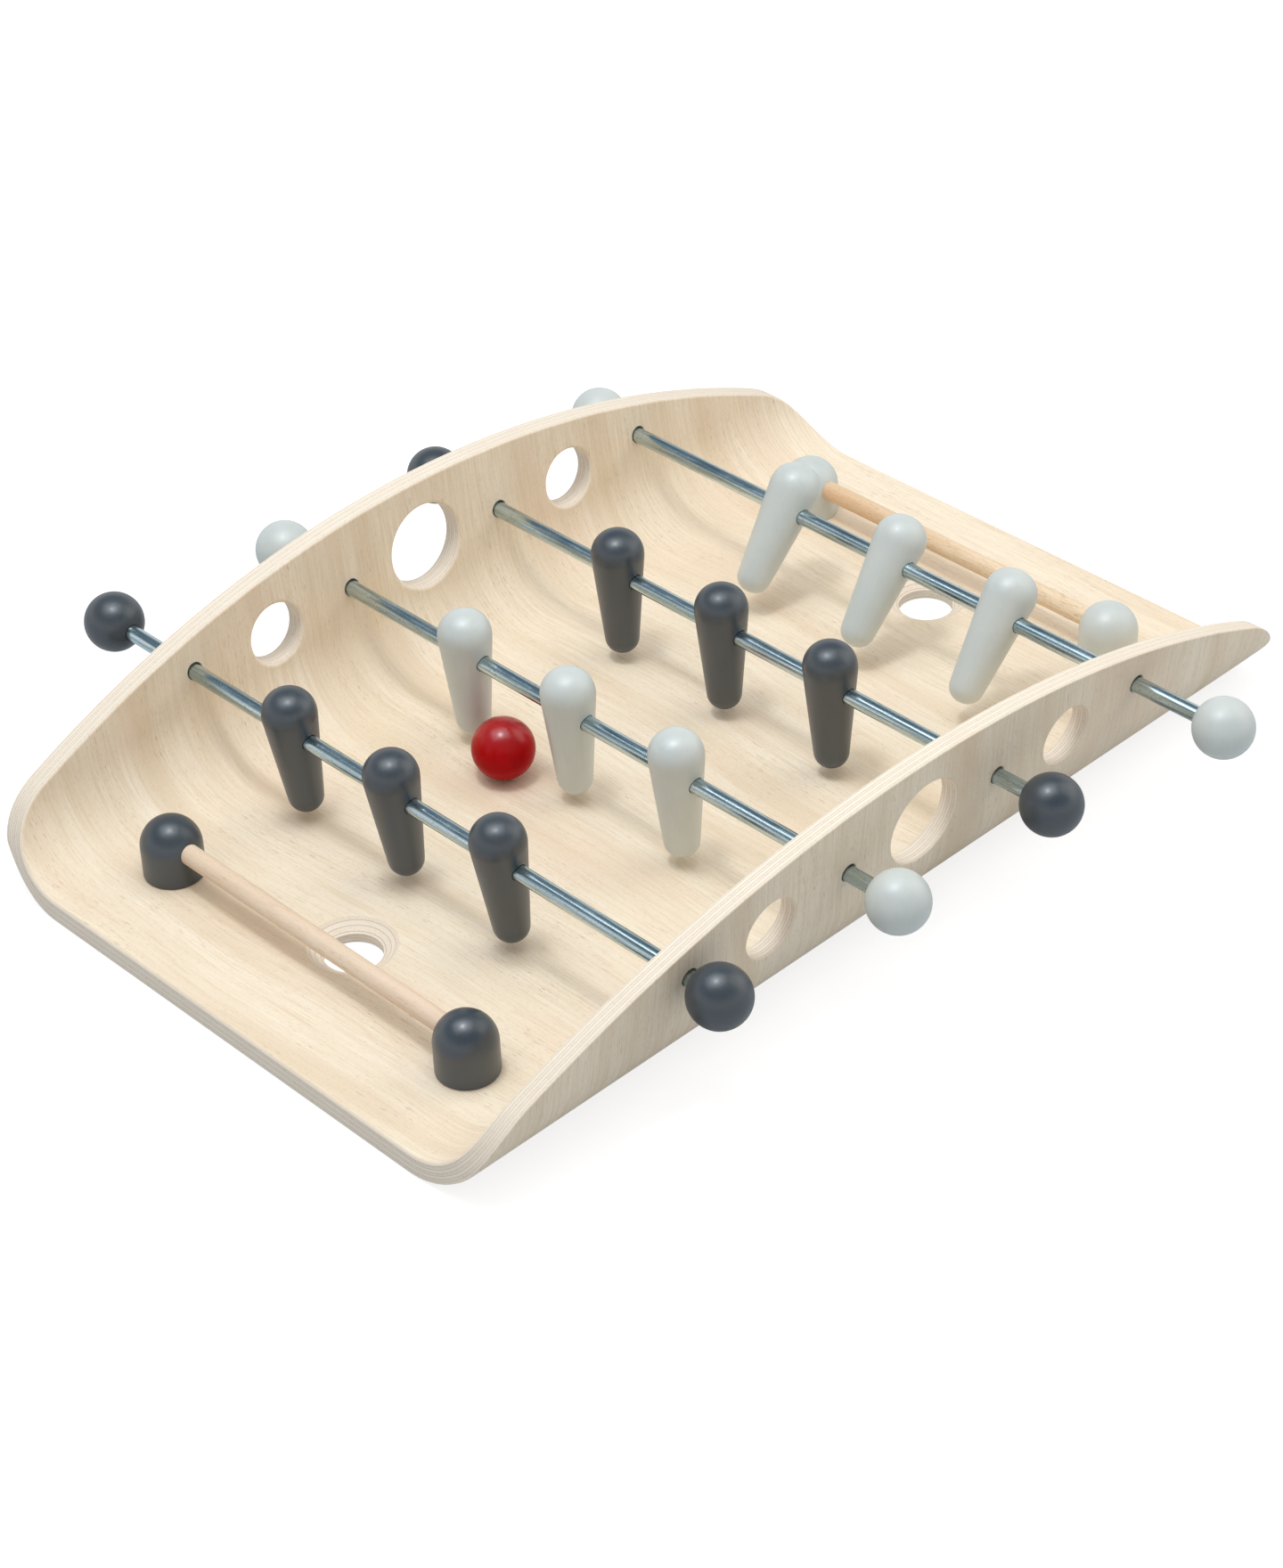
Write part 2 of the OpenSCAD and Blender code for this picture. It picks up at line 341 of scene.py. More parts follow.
def makePlywood(values):
    material, tree, shader = startMaterial("bentPlywood")
    flat = addNode(tree, "ShaderNodeUVMap", uv_map="sheetPlace").outputs[0]
    depth = addNode(tree, "ShaderNodeAttribute", attribute_name="plyDepth").outputs["Fac"]
    outer = calc(tree, "GREATER_THAN", depth, values["thickness"] / 2)
    shift = vectorOf(tree, times(tree, outer, values["outerShift"]), 0, outer)
    grain = {"Place": moved(tree, flat, shift), **values["grain"]}
    face = addNode(tree, "ShaderNodeGroup", grain, node_tree=woodGrain).outputs
    # plies on the cut edges, counted through the thickness
    layers = noiseLayers(tree, coordinates(tree, "Object"), values["layers"])
    shares = layerShares(tree, layers, values["shares"])
    wobble = times(tree, minus(tree, layers["wobble"], 0.5), 2 * values["waver"])
    counted = times(tree, plus(tree, depth, wobble), values["plies"] / values["thickness"])
    part = calc(tree, "FRACT", counted)
    crossPly = calc(tree, "MODULO", calc(tree, "FLOOR", counted), 2.0)
    nearGlue = calc(tree, "MINIMUM", part, minus(tree, 1.0, part))
    glue = ramp(tree, nearGlue, values["glueCore"], values["glueEdge"], 1.0, 0.0)
    # crosswise plies show end grain where the edge faces along x, the others where it doesn't
    alongX = calc(tree, "ABSOLUTE", partsOf(tree, coordinates(tree, "Normal"))[0])
    acrossX = calc(tree, "SQRT", minus(tree, 1.0, times(tree, alongX, alongX)))
    endShare = mixNumber(tree, crossPly, acrossX, alongX)
    end = mixColour(tree, shares["speckle"], values["endGrain"], values["endPore"])
    long = mixColour(tree, shares["cloud"], values["longGrain"], values["endGrain"])
    edge = mixColour(tree, endShare, long, end)
    edge = mixColour(tree, times(tree, glue, values["glueShare"]), edge, values["glue"])
    edgeHeight = minus(tree, times(tree, layers["speckle"], values["speckleRelief"]), glue)
    inside = calc(tree, "MINIMUM", depth, minus(tree, values["thickness"], depth))
    edgeShare = ramp(tree, inside, *values["faceEdge"])
    colour = mixColour(tree, edgeShare, face["Color"], edge)
    height = mixNumber(tree, edgeShare, face["Height"], edgeHeight)
    dress(tree, shader, colour, face["Roughness"], height, values)
    return material


dowelWood = {
    "paleDowel": {"Pale": srgb(240, 222, 199), "Tan": srgb(226, 198, 168),
                  "Blush": srgb(232, 200, 176), "Pore": srgb(160, 120, 92),
                  "Tan Share": 0.6, "Pore Share": 0.5},
    "tanDowel": {"Pale": srgb(240, 218, 187), "Tan": srgb(218, 178, 136),
                 "Blush": srgb(222, 178, 138), "Pore": srgb(140, 92, 58),
                 "Tan Share": 0.8, "Pore Share": 0.8},
    "bump": 0.05 * mm, "bumpStrength": 0.5, "shader": {"Specular IOR Level": 0.35},
}


def makeDowelWood(name, values):
    material, tree, shader = startMaterial(name)
    given = {"Place": coordinates(tree, "Object"), **values[name]}
    grain = addNode(tree, "ShaderNodeGroup", given, node_tree=woodGrain).outputs
    dress(tree, shader, grain["Color"], grain["Roughness"], grain["Height"], values)
    return material


# Paint on turned wood: satin, with the grain and the thickness of the coats just showing through

paintPattern = {
    "layers": {   # scale, detail, roughness, shift; the grain runs along z
        "cloud": ((60, 60, 35), 3, 0.55),
        "grain": ((700, 700, 28), 3, 0.6),
        "orange": ((1500, 1500, 1500), 1, 0.5),
        "dust": ((2600, 2600, 2600), 0, 0.5, (4, 1, 2)),
    },
    "shares": {   # from and to in the layer's noise, then its share there
        "cloud": (0.35, 0.7, 0.0, 0.5), "grain": (0.45, 0.75, 0.0, 0.35),
        "dust": (0.70, 0.76, 0.0, 0.5),
    },
    "orangeRelief": 0.35, "cloudSheen": 0.6, "grainSheen": 0.4,
    "sheen": (0.3, 0.7),   # from and to in the unevenness, for the lower and the higher roughness
}


def makePaintSkin(values):
    tree, given, out = startGroup("paintSkin", [
        ("Place", "NodeSocketVector", None),
        ("Tone", "NodeSocketColor", None),
        ("Thin Tone", "NodeSocketColor", None),
        ("Sheen Low", "NodeSocketFloat", 0.3),
        ("Sheen High", "NodeSocketFloat", 0.5),
    ], skinOutputs)
    layers = noiseLayers(tree, given["Place"], values["layers"])
    shares = layerShares(tree, layers, values["shares"])
    colour = mixColour(tree, shares["cloud"], given["Tone"], given["Thin Tone"])
    colour = mixColour(tree, shares["grain"], colour, given["Thin Tone"])
    relief = plus(tree, layers["grain"], times(tree, layers["orange"], values["orangeRelief"]))
    uneven = plus(tree, times(tree, layers["cloud"], values["cloudSheen"]),
                  times(tree, layers["grain"], values["grainSheen"]))
    sheen = ramp(tree, uneven, *values["sheen"], given["Sheen Low"], given["Sheen High"])
    tree.links.new(colour, out["Color"])
    tree.links.new(minus(tree, relief, shares["dust"]), out["Height"])
    tree.links.new(sheen, out["Roughness"])
    return tree


paintSkin = makePaintSkin(paintPattern)

paints = {
    "darkPaint": {"Tone": srgb(47, 57, 66), "Thin Tone": srgb(55, 62, 68),
                  "Sheen Low": 0.34, "Sheen High": 0.44},
    "lightPaint": {"Tone": srgb(200, 206, 203), "Thin Tone": srgb(210, 214, 209),
                   "Sheen Low": 0.38, "Sheen High": 0.5},
    "bump": 0.03 * mm, "bumpStrength": 0.35,
    "shader": {"Specular IOR Level": 0.92, "Coat Weight": 0.12, "Coat Roughness": 0.22},
}


def makePaint(name, values):
    material, tree, shader = startMaterial(name)
    given = {"Place": coordinates(tree, "Object"), **values[name]}
    skin = addNode(tree, "ShaderNodeGroup", given, node_tree=paintSkin).outputs
    dress(tree, shader, skin["Color"], skin["Roughness"], skin["Height"], values)
    return material


ballRed = {
    "tone": srgb(174, 12, 17), "deep": srgb(160, 8, 13),
    "layers": {"cloud": ((80, 80, 80), 2, 0.5), "grit": ((900, 900, 900), 1, 0.5)},
    "deepShare": (0.35, 0.7), "roughness": (0.3, 0.7, 0.24, 0.28),   # from and to in the clouds
    "polish": (0.3, 0.9),   # how high a face points where the polish starts and where it is full
    "bump": 0.004 * mm, "bumpStrength": 0.2,
    "shader": {"Specular IOR Level": 0.06, "Coat IOR": 1.56, "Coat Roughness": 0.26},
}


def makeBallGloss(values):
    material, tree, shader = startMaterial("ballGloss")
    layers = noiseLayers(tree, coordinates(tree, "Object"), values["layers"])
    deepShare = ramp(tree, layers["cloud"], *values["deepShare"])
    colour = mixColour(tree, deepShare, values["tone"], values["deep"])
    roughness = ramp(tree, layers["cloud"], *values["roughness"])
    dress(tree, shader, colour, roughness, layers["grit"], values)
    polish = ramp(tree, partsOf(tree, coordinates(tree, "Normal"))[2], *values["polish"])
    tree.links.new(polish, shader.inputs["Coat Weight"])
    return material


zinc = {
    "bright": srgb(200, 216, 220), "dull": srgb(155, 174, 179), "spot": srgb(94, 114, 122),
    "drawnScale": 22, "acrossScale": 700, "lineNoise": (3, 0.6),   # of the drawing lines
    "layers": {"blotch": ((260, 60, 260), 3, 0.6), "flecks": ((1500, 700, 1500), 2, 0.6)},
    "dullShare": (0.38, 0.68), "spotShare": (0.57, 0.74, 0.0, 0.7),
    "roughness": (0.35, 0.7, 0.16, 0.26), "fleckRoughness": (0.5, 0.8, 0.0, 0.10),
    "fleckRelief": 0.6,
    "bump": 0.0015 * mm, "bumpStrength": 0.5, "shader": {"Metallic": 1.0},
}


def makeZinc(name, values, drawnAlong):
    material, tree, shader = startMaterial(name)
    place = coordinates(tree, "Object")
    lineScale = [values["acrossScale"]] * 3
    lineScale[drawnAlong] = values["drawnScale"]
    lines = noise(tree, place, lineScale, *values["lineNoise"])
    layers = noiseLayers(tree, place, values["layers"])
    dullShare = ramp(tree, lines, *values["dullShare"])
    colour = mixColour(tree, dullShare, values["bright"], values["dull"])
    spotShare = ramp(tree, layers["flecks"], *values["spotShare"])
    colour = mixColour(tree, spotShare, colour, values["spot"])
    roughness = plus(tree, ramp(tree, layers["blotch"], *values["roughness"]),
                     ramp(tree, layers["flecks"], *values["fleckRoughness"]))
    relief = plus(tree, lines, times(tree, layers["flecks"], values["fleckRelief"]))
    dress(tree, shader, colour, roughness, relief, values)
    return material


materials = {
    "plywood": makePlywood(plywood),
    "paleDowel": makeDowelWood("paleDowel", dowelWood),
    "tanDowel": makeDowelWood("tanDowel", dowelWood),
    "dark": makePaint("darkPaint", paints),
    "light": makePaint("lightPaint", paints),
    "ball": makeBallGloss(ballRed),
    "rod": makeZinc("zincRod", zinc, 1),
    "screw": makeZinc("zincScrew", zinc, 2),
}
print("materials made")


def addObject(name, mesh):
    made = bpy.data.objects.new(name, mesh)
    scene.collection.objects.link(made)
    return made


def finishPiece(piece, body, slot, *nodes):
    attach(piece, body)
    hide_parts(*nodes)


def middleOf(node):
    return sum(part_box(node), Vector()) / 2


def roundedPath(corners, radii, longest=None, arcSteps=5):
    # a flat path with its inner corners rounded; a radius of 0 keeps the corner as a point
    made = [Vector(corners[0])]
    for before, corner, after, radius in zip(corners, corners[1:], corners[2:], radii):
        a, c, b = Vector(before), Vector(corner), Vector(after)
        if radius == 0:
            made.append(c)
            continue
        toA, toB = (a - c).normalized(), (b - c).normalized()
        half = toA.angle(toB) / 2
        centre = c + (toA + toB).normalized() * (radius / math.sin(half))
        start = c + toA * (radius / math.tan(half)) - centre
        end = c + toB * (radius / math.tan(half)) - centre
        sweep = start.angle(end)
        for k in range(arcSteps + 1):
            share = k / arcSteps
            spoke = start * math.sin((1 - share) * sweep) + end * math.sin(share * sweep)
            made.append(centre + spoke / math.sin(sweep))
    made.append(Vector(corners[-1]))
    if longest is None:
        return made
    split = [made[0]]
    for a, b in zip(made, made[1:]):
        parts = max(1, math.ceil((b - a).length / longest))
        split += [a.lerp(b, k / parts) for k in range(1, parts + 1)]
    return split


# The bent plywood tray. It is laid out as a flat sheet, x along the pitch and u across it over the
# floor, up a bend and up a wall, and then bent. Depth runs from the inner face into the wood.

tray = {
    "flatWidth": 249.6 * mm, "bendRadius": 47.5 * mm, "wallLean": 6.2,   # degrees from upright
    "topArcRadius": 590 * mm, "cornerRadius": 50 * mm, "endRadius": 150 * mm, "endFlat": 125 * mm,
    "easing": (1.5 * mm, 0.8 * mm),   # radii of the edges on the inner and on the outer face
    # how finely the faces, bends, loops and edge profiles are divided
    "gridStep": 10 * mm, "bendStep": 2.6 * mm, "loopStep": 3.5 * mm, "ringStep": 1.6 * mm,
    "endSamples": 600, "topSamples": 400,
    "rimGap": 0.7,      # how near a rim the grid comes, in loop steps
    "faceRun": 4 * mm,  # face at both ends of a profile, cut off once the corners are rounded
    "rodHole": {"z": 62.1 * mm, "radius": 4.5 * mm, "easing": (0.4 * mm, 0.4 * mm), "points": 40},
    "bigHole": {"z": 63 * mm, "radius": 22 * mm, "easing": (1.9 * mm, 0.9 * mm), "points": 96},
    "smallHole": {"x": 99 * mm, "z": 58.7 * mm, "radius": 15.5 * mm,
                  "easing": (1.9 * mm, 0.9 * mm), "points": 72},
    "goalHole": {"x": 196 * mm, "radius": 14 * mm, "dishRadius": 21.5 * mm, "dishDepth": 5 * mm,
                 "dishSteps": 6, "rimEasing": 1.5 * mm, "easing": 1.2 * mm, "points": 80},
    "screwHole": {"x": 217.8 * mm, "y": 102.9 * mm, "radius": 2.2 * mm, "sinkRadius": 4.2 * mm,
                  "sink": 0.2 * mm, "easing": 0.15 * mm, "points": 32},
}
rows = (1, 2, 3, 4)
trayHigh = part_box("plywood_tray")[1]
rodPlaces = [middleOf(f"rod_{row}") for row in rows]
sheetT = plywood["thickness"]
halfLength, wallTop = trayHigh.x, trayHigh.z
halfFlat, bendR = tray["flatWidth"] / 2, tray["bendRadius"]
innerR, middleR = bendR - sheetT, bendR - sheetT / 2
bendAngle = math.radians(90 - tray["wallLean"])
bendEnd = halfFlat + middleR * bendAngle      # u where the bend turns into the straight wall
topArcR, cornerR = tray["topArcRadius"], tray["cornerRadius"]
topArcZ = wallTop - topArcR
cornerX = halfLength - cornerR
cornerZ = topArcZ + math.sqrt((topArcR - cornerR) ** 2 - cornerX ** 2)
meetX = cornerX * topArcR / (topArcR - cornerR)   # where the long arc turns into the corner
meetZ = topArcZ + math.sqrt(topArcR ** 2 - meetX ** 2)


def sheetPoint(x, u, depth):
    across, side = np.abs(u), np.where(u < 0, -1.0, 1.0)
    angle = np.clip((across - halfFlat) / middleR, 0, bendAngle)
    upWall = np.maximum(across - bendEnd, 0)
    radius = innerR + depth
    y = np.minimum(across, halfFlat) + radius * np.sin(angle) + upWall * math.cos(bendAngle)
    z = bendR - radius * np.cos(angle) + upWall * math.sin(bendAngle)
    return np.stack([x + 0 * y, side * y, z], -1)


def faceNormal(u):
    angle = np.clip((np.abs(u) - halfFlat) / middleR, 0, bendAngle)
    return np.stack([0 * angle, np.where(u < 0, 1.0, -1.0) * np.sin(angle), np.cos(angle)], -1)


def sheetPlace(points):
    # x, u and depth of points of the bent sheet
    y, z = np.abs(points[:, 1]), points[:, 2]
    angle = np.clip(np.arctan2(y - halfFlat, bendR - z), 0, bendAngle)
    depth = (y - halfFlat) * np.sin(angle) + (bendR - z) * np.cos(angle) - innerR
    upWall = np.maximum((y - halfFlat) * math.cos(bendAngle) + (z - bendR) * math.sin(bendAngle), 0)
    bent = halfFlat + middleR * angle + np.where(angle < bendAngle, 0, upWall)
    side = np.where(points[:, 1] < 0, -1.0, 1.0)
    return points[:, 0], side * np.where(y < halfFlat, y, bent), depth


def acrossAt(z, depth):
    # u on the +Y side at which the sheet's layer reaches height z
    radius = innerR + depth
    bendTop = bendR - radius * math.cos(bendAngle)
    angle = np.arccos(np.clip((bendR - z) / radius, -1, 1))
    straight = bendEnd + (z - bendTop) / math.sin(bendAngle)
    return np.where(z > bendTop, straight, halfFlat + middleR * angle)


def endReach(y, z):
    # how far along x the tray reaches at a point of its section, below the long arc
    pastFlat = np.clip(y - tray["endFlat"], 0, None)
    plan = halfLength - tray["endRadius"] + np.sqrt(tray["endRadius"] ** 2 - pastFlat ** 2)
    side = cornerX + np.sqrt(np.clip(cornerR ** 2 - np.clip(z - cornerZ, 0, None) ** 2, 0, None))
    return np.minimum(plan, side)


def outlineLoop(depth):
    # the tray's edge all round: along the end and up the corner, then along the long top arc
    lowU = np.linspace(0, float(acrossAt(np.float64(meetZ), depth)), tray["endSamples"])
    low = sheetPoint(0.0, lowU, depth)
    highX = np.linspace(meetX, 0, tray["topSamples"])[1:]
    highZ = topArcZ + np.sqrt(topArcR ** 2 - highX ** 2)
    x = np.concatenate([endReach(low[:, 1], low[:, 2]), highX])
    u = np.concatenate([lowU, acrossAt(highZ, depth)])
    steps = np.linalg.norm(np.diff(sheetPoint(x, u, depth), axis=0), axis=1)
    length = np.concatenate([[0], np.cumsum(steps)])
    even = np.linspace(0, length[-1], int((halfLength + bendEnd) / tray["loopStep"]))
    x, u = np.interp(even, length, x), np.interp(even, length, u)
    return (np.concatenate([x[:-1], -x[:0:-1], -x[:-1], x[:0:-1]]),
            np.concatenate([u[:-1], u[:0:-1], -u[:-1], -u[:0:-1]]))


def wallLoop(hole, x, side):
    # clockwise on the sheet as seen from the inner face, like every hole
    turn = -side * np.linspace(0, 2 * math.pi, hole["points"], endpoint=False)
    return lambda depth: (x + hole["radius"] * np.cos(turn),
                          side * acrossAt(hole["z"] + hole["radius"] * np.sin(turn), depth))


def floorLoop(hole, x, y):
    turn = -np.linspace(0, 2 * math.pi, hole["points"], endpoint=False)
    return lambda depth: (x + hole["radius"] * np.cos(turn), y + hole["radius"] * np.sin(turn))


def edgeProfile(easing):
    # from the inner face over the edge to the outer one: a point is (distance into the wood, depth)
    inner, outer = easing
    corners = [(2 * inner, 0), (0, 0), (0, sheetT), (2 * outer, sheetT)]
    return roundedPath(corners, [inner, outer], tray["ringStep"])[1:-1]


def dishProfile(hole):
    radius, rim, deep = hole["radius"], hole["dishRadius"], hole["dishDepth"]
    up = (rim ** 2 - radius ** 2 - deep ** 2) / (2 * deep)
    ball = math.hypot(up, rim)
    depths = np.linspace(0, deep, hole["dishSteps"])
    arc = [(math.sqrt(ball ** 2 - (up + depth) ** 2) - radius, depth) for depth in depths]
    run = tray["faceRun"]
    corners = [(arc[0][0] + run, 0)] + arc + [(0, sheetT), (run, sheetT)]
    radii = [hole["rimEasing"]] + [0] * (len(arc) - 2) + [hole["easing"] / 2, hole["easing"]]
    return roundedPath(corners, radii)[1:-1]


def sinkProfile(hole):
    wide, run, eased = hole["sinkRadius"] - hole["radius"], tray["faceRun"], hole["easing"]
    sinkTop = sheetT - hole["sink"]
    corners = [(run, 0), (0, 0), (0, sinkTop - wide), (wide, sinkTop), (wide, sheetT),
               (wide + run, sheetT)]
    return roundedPath(corners, [eased, eased, 0, eased / 2])[1:-1]


def insideLoop(x, u, loop):
    inside = np.zeros(len(x), bool)
    for (x1, u1), (x2, u2) in zip(loop, np.roll(loop, -1, 0)):
        if u1 != u2:
            inside ^= ((u1 > u) != (u2 > u)) & (x < (x2 - x1) * (u - u1) / (u2 - u1) + x1)
    return inside


class Sheet:
    def __init__(self):
        self.points, self.normals, self.faces, self.rims = [], [], [], []

    def add(self, points, normals):
        start = sum(map(len, self.points))
        self.points.append(points)
        self.normals.append(normals)
        return np.arange(start, start + len(points))


def sheetEdges():
    # the outline and every hole, as pairs of a loop and the profile of its edge
    rod, big, small = tray["rodHole"], tray["bigHole"], tray["smallHole"]
    goal, screw = tray["goalHole"], tray["screwHole"]
    edges = [(outlineLoop, edgeProfile(tray["easing"]))]
    for side in (-1, 1):
        for place in rodPlaces:
            edges.append((wallLoop(rod, place.x, side), edgeProfile(rod["easing"])))
        edges.append((wallLoop(big, 0, side), edgeProfile(big["easing"])))
        for end in (-1, 1):
            edges.append((wallLoop(small, end * small["x"], side), edgeProfile(small["easing"])))
            screwLoop = floorLoop(screw, end * screw["x"], side * screw["y"])
            edges.append((screwLoop, sinkProfile(screw)))
    for end in (-1, 1):
        edges.append((floorLoop(goal, end * goal["x"], 0), dishProfile(goal)))
    return edges


def buildEdges(sheet):
    for loopAt, profile in sheetEdges():
        along = np.gradient(np.array(profile), axis=0)
        along[0], along[-1] = (-1, 0), (1, 0)
        along /= np.linalg.norm(along, axis=1)[:, None]
        rings = []
        for (inset, depth), (alongInset, alongDepth) in zip(profile, along):
            x, u = loopAt(depth)
            base, up = sheetPoint(x, u, depth), faceNormal(u)
            inward = np.cross(up, np.roll(base, -1, 0) - np.roll(base, 1, 0))
            inward /= np.linalg.norm(inward, axis=1)[:, None]
            rings.append(sheet.add(base + inset * inward, -alongDepth * inward - alongInset * up))
        for a, b in zip(rings, rings[1:]):
            sheet.faces += zip(a, b, np.roll(b, -1), np.roll(a, -1))
        sheet.rims.append((rings[0], rings[-1]))


def gridPlaces():
    flats = np.arange(0, halfFlat - tray["bendStep"], tray["gridStep"])
    bends = np.arange(halfFlat, bendEnd, tray["bendStep"])
    walls = np.arange(bendEnd + tray["bendStep"], bendEnd + wallTop, tray["gridStep"])
    half = np.concatenate([flats, bends, walls])
    along = np.arange(-halfLength, halfLength, tray["gridStep"]) + tray["gridStep"] / 2
    return [flat.ravel() for flat in np.meshgrid(along, np.concatenate([-half[:0:-1], half]))]


def fillFace(sheet, which, depth):
    # which is 0 for the inner face and 1 for the outer one
    everything = np.concatenate(sheet.points)
    rims = [rim[which] for rim in sheet.rims]
    loops = [np.stack(sheetPlace(everything[rim])[:2], -1) for rim in rims]

    def onWood(x, u):
        inHoles = np.any([insideLoop(x, u, loop) for loop in loops[1:]], axis=0)
        return insideLoop(x, u, loops[0]) & ~inHoles

    gridX, gridU = gridPlaces()
    places = np.stack([gridX, gridU], -1)[onWood(gridX, gridU)]
    border = np.concatenate(loops)
    gaps = np.array([np.min(np.hypot(*(border - place).T)) for place in places])
    places = places[gaps > tray["rimGap"] * tray["loopStep"]]
    normals = faceNormal(places[:, 1]) * (1 - 2 * which)
    filled = sheet.add(sheetPoint(places[:, 0], places[:, 1], depth), normals)
    numbers = np.concatenate(rims + [filled])
    constraints, start = [], 0
    for loop in loops:
        constraints += [(start + k, start + (k + 1) % len(loop)) for k in range(len(loop))]
        start += len(loop)
    # triangles over the whole sheet, worked out in millimetres, of which only those on wood stay
    flat = [Vector(place) for place in np.concatenate([border, places]) / mm]
    everyTriangle, sameWithin = 0, 1e-6
    vertices, _, triangles, origins, _, _ = delaunay_2d_cdt(flat, constraints, [], everyTriangle,
                                                            sameWithin)
    corners = np.array([[vertices[v] for v in triangle] for triangle in triangles])
    centres = corners.mean(1) * mm
    edgeA, edgeB = corners[:, 1] - corners[:, 0], corners[:, 2] - corners[:, 0]
    spins = edgeA[:, 0] * edgeB[:, 1] - edgeA[:, 1] * edgeB[:, 0]
    for triangle, wanted, spin in zip(triangles, onWood(centres[:, 0], centres[:, 1]), spins):
        if wanted:
            face = [numbers[origins[v][0]] for v in triangle]
            sheet.faces.append(face if (spin > 0) == (which == 0) else face[::-1])


def makeTray():
    sheet = Sheet()
    buildEdges(sheet)
    fillFace(sheet, 0, 0.0)
    fillFace(sheet, 1, sheetT)
    points, normals = np.concatenate(sheet.points), np.concatenate(sheet.normals)
    mesh = bpy.data.meshes.new("plywoodTray")
    mesh.from_pydata(points.tolist(), [], [[int(v) for v in face] for face in sheet.faces])
    x, u, depth = sheetPlace(points)
    corners = np.empty(len(mesh.loops), np.int32)
    mesh.loops.foreach_get("vertex_index", corners)
    flat = np.stack([x, u], -1)[corners].astype(np.float32)
    mesh.uv_layers.new(name="sheetPlace").data.foreach_set("uv", flat.ravel())
    plyDepth = mesh.attributes.new("plyDepth", "FLOAT", "POINT")
    plyDepth.data.foreach_set("value", depth.astype(np.float32))
    mesh.polygons.foreach_set("use_smooth", np.ones(len(mesh.polygons), bool))
    mesh.normals_split_custom_set_from_vertices(normals.tolist())
    mesh.materials.append(materials["plywood"])
    finishPiece(addObject("plywoodTray", mesh), "tray", "plywood", "plywood_tray")
    print("tray made:", len(points), "points,", len(mesh.polygons), "faces")


makeTray()

# Turned pieces: a half outline is spun, bored across, and set out in a line

turning = {
    "segments": 72, "drillSegments": 48, "sharpFrom": 40,   # degrees between two faces
    "poleMerge": 0.001 * mm, "boreMerge": 0.002 * mm,       # closes the poles and the bores' rims
}


def makeTurnedPieces(values):
    tree, given, out = startGroup("turnedPieces", [
        ("Outline", "NodeSocketGeometry", None),    # points from top to bottom, x outwards and z up
        ("Segments", "NodeSocketInt", values["segments"]),
        ("Bore Diameter", "NodeSocketFloat", 0.0),
        ("Bore Length", "NodeSocketFloat", 0.0),
        ("Bore Middle", "NodeSocketVector", None),
        ("Count", "NodeSocketInt", 1),
        ("First Place", "NodeSocketVector", None),
        ("Step", "NodeSocketVector", None),
        ("Lean", "NodeSocketVector", None),
        ("Turn Each", "NodeSocketVector", None),
        ("Paint", "NodeSocketMaterial", None),
    ], [("Pieces", "NodeSocketGeometry")], "GeometryNodeTree")

    def node(kind, inputs, **settings):
        return addNode(tree, "GeometryNode" + kind, inputs, **settings).outputs

    rings = node("AttributeDomainSize", {0: given["Outline"]})["Point Count"]
    across = plus(tree, given["Segments"], 1)
    grid = node("MeshGrid", {"Vertices X": rings, "Vertices Y": across})[0]
    index = node("InputIndex", {})[0]
    ring = calc(tree, "FLOOR", calc(tree, "DIVIDE", plus(tree, index, 0.5), across))
    segment = minus(tree, index, times(tree, ring, across))
    sample = {"Geometry": given["Outline"], "Value": node("InputPosition", {})[0], "Index": ring}
    point = node("SampleIndex", sample, data_type="FLOAT_VECTOR")[0]
    x, _, z = partsOf(tree, point)
    angle = times(tree, calc(tree, "DIVIDE", segment, given["Segments"]), math.tau)
    spun = vectorOf(tree, times(tree, x, calc(tree, "COSINE", angle)),
                    times(tree, x, calc(tree, "SINE", angle)), z)
    blank = node("SetPosition", {"Geometry": grid, "Position": spun})[0]
    blank = node("MergeByDistance", {"Geometry": blank, "Distance": values["poleMerge"]})[0]
    radius = calc(tree, "DIVIDE", given["Bore Diameter"], 2.0)
    drill = node("MeshCylinder", {"Vertices": values["drillSegments"], "Radius": radius,
                                  "Depth": given["Bore Length"]})[0]
    drill = node("Transform", {"Geometry": drill, "Translation": given["Bore Middle"],
                               "Rotation": (math.pi / 2, 0, 0)})[0]
    bored = node("MeshBoolean", {"Mesh 1": blank, "Mesh 2": drill}, operation="DIFFERENCE",
                 solver="EXACT")[0]
    bored = node("MergeByDistance", {"Geometry": bored, "Distance": values["boreMerge"]})[0]
    smooth = node("SetShadeSmooth", {"Geometry": bored, "Shade Smooth": True})[0]
    sharp = calc(tree, "GREATER_THAN", node("InputMeshEdgeAngle", {})[0],
                 math.radians(values["sharpFrom"]))
    crisp = node("SetShadeSmooth", {"Geometry": smooth, "Selection": sharp, "Shade Smooth": False},
                 domain="EDGE")[0]
    line = node("MeshLine", {"Count": given["Count"], "Start Location": given["First Place"],
                             "Offset": given["Step"]})[0]
    turned = addNode(tree, "ShaderNodeVectorMath", {0: given["Turn Each"], "Scale": index},
                     operation="SCALE").outputs[0]
    leaned = moved(tree, given["Lean"], turned)
    rotation = addNode(tree, "FunctionNodeEulerToRotation", {0: leaned}).outputs[0]
    pieces = node("InstanceOnPoints", {"Points": line, "Instance": crisp, "Rotation": rotation})[0]
    pieces = node("RealizeInstances", {"Geometry": pieces})[0]
    painted = node("SetMaterial", {"Geometry": pieces, "Material": given["Paint"]})[0]
    tree.links.new(painted, out["Pieces"])
    return tree


turnedPieces = makeTurnedPieces(turning)


